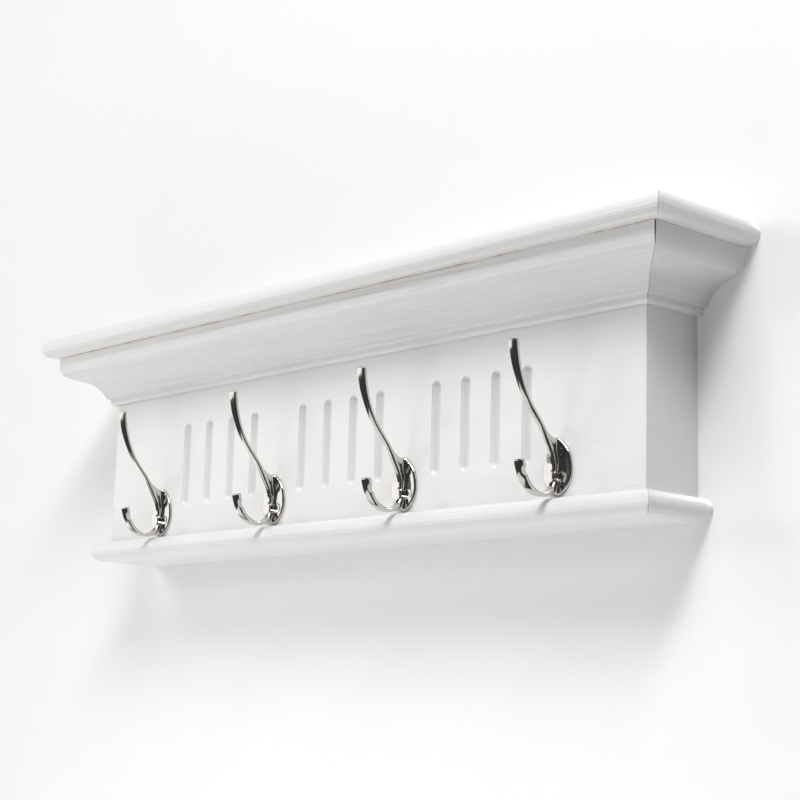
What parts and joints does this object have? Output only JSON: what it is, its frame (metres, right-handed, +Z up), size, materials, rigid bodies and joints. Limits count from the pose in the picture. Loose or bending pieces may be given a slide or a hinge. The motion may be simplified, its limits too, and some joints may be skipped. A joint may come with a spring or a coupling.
{
  "type": "wall hook rack",
  "caption": "Wall hook rack: a fluted timber panel under a mitred crown moulding and shelf, with cast double hooks along the front.",
  "frame": {"origin": "on the wall plane, midway between the entry holes of the two keyholes", "axes": "+X to the right along the rack seen from the room, +Y into the wall, +Z up"},
  "size_m": [0.8128, 0.1209, 0.227],
  "materials": {
    "painted_wood": "hand-brushed white satin paint over timber",
    "bare_wood": "planed softwood, unpainted",
    "polished_nickel": "polished nickel plate",
    "zinc_steel": "bright zinc plate"
  },
  "bodies": {
    "root": {"bottom_board": "painted_wood", "bottom_cleat": "bare_wood", "bottom_cleat_screws": "zinc_steel", "bottom_nosing_front": "painted_wood", "bottom_nosing_left": "painted_wood", "bottom_nosing_right": "painted_wood", "corner_block_left": "bare_wood", "corner_block_right": "bare_wood", "crown_front": "painted_wood", "crown_left": "painted_wood", "crown_right": "painted_wood", "front_panel": "painted_wood", "hanger_plate_left": "zinc_steel", "hanger_plate_right": "zinc_steel", "hanger_screws_left": "zinc_steel", "hanger_screws_right": "zinc_steel", "hanging_rail": "bare_wood", "hook_1": "polished_nickel", "hook_2": "polished_nickel", "hook_3": "polished_nickel", "hook_4": "polished_nickel", "hook_screw_1_lower": "polished_nickel", "hook_screw_1_upper": "polished_nickel", "hook_screw_2_lower": "polished_nickel", "hook_screw_2_upper": "polished_nickel", "hook_screw_3_lower": "polished_nickel", "hook_screw_3_upper": "polished_nickel", "hook_screw_4_lower": "polished_nickel", "hook_screw_4_upper": "polished_nickel", "lower_rail": "bare_wood", "side_return_left": "painted_wood", "side_return_right": "painted_wood", "top_board": "painted_wood", "top_cleat": "bare_wood", "top_cleat_screws": "zinc_steel", "top_nosing_front": "painted_wood", "top_nosing_left": "painted_wood", "top_nosing_right": "painted_wood"}
  },
  "joints": []
}
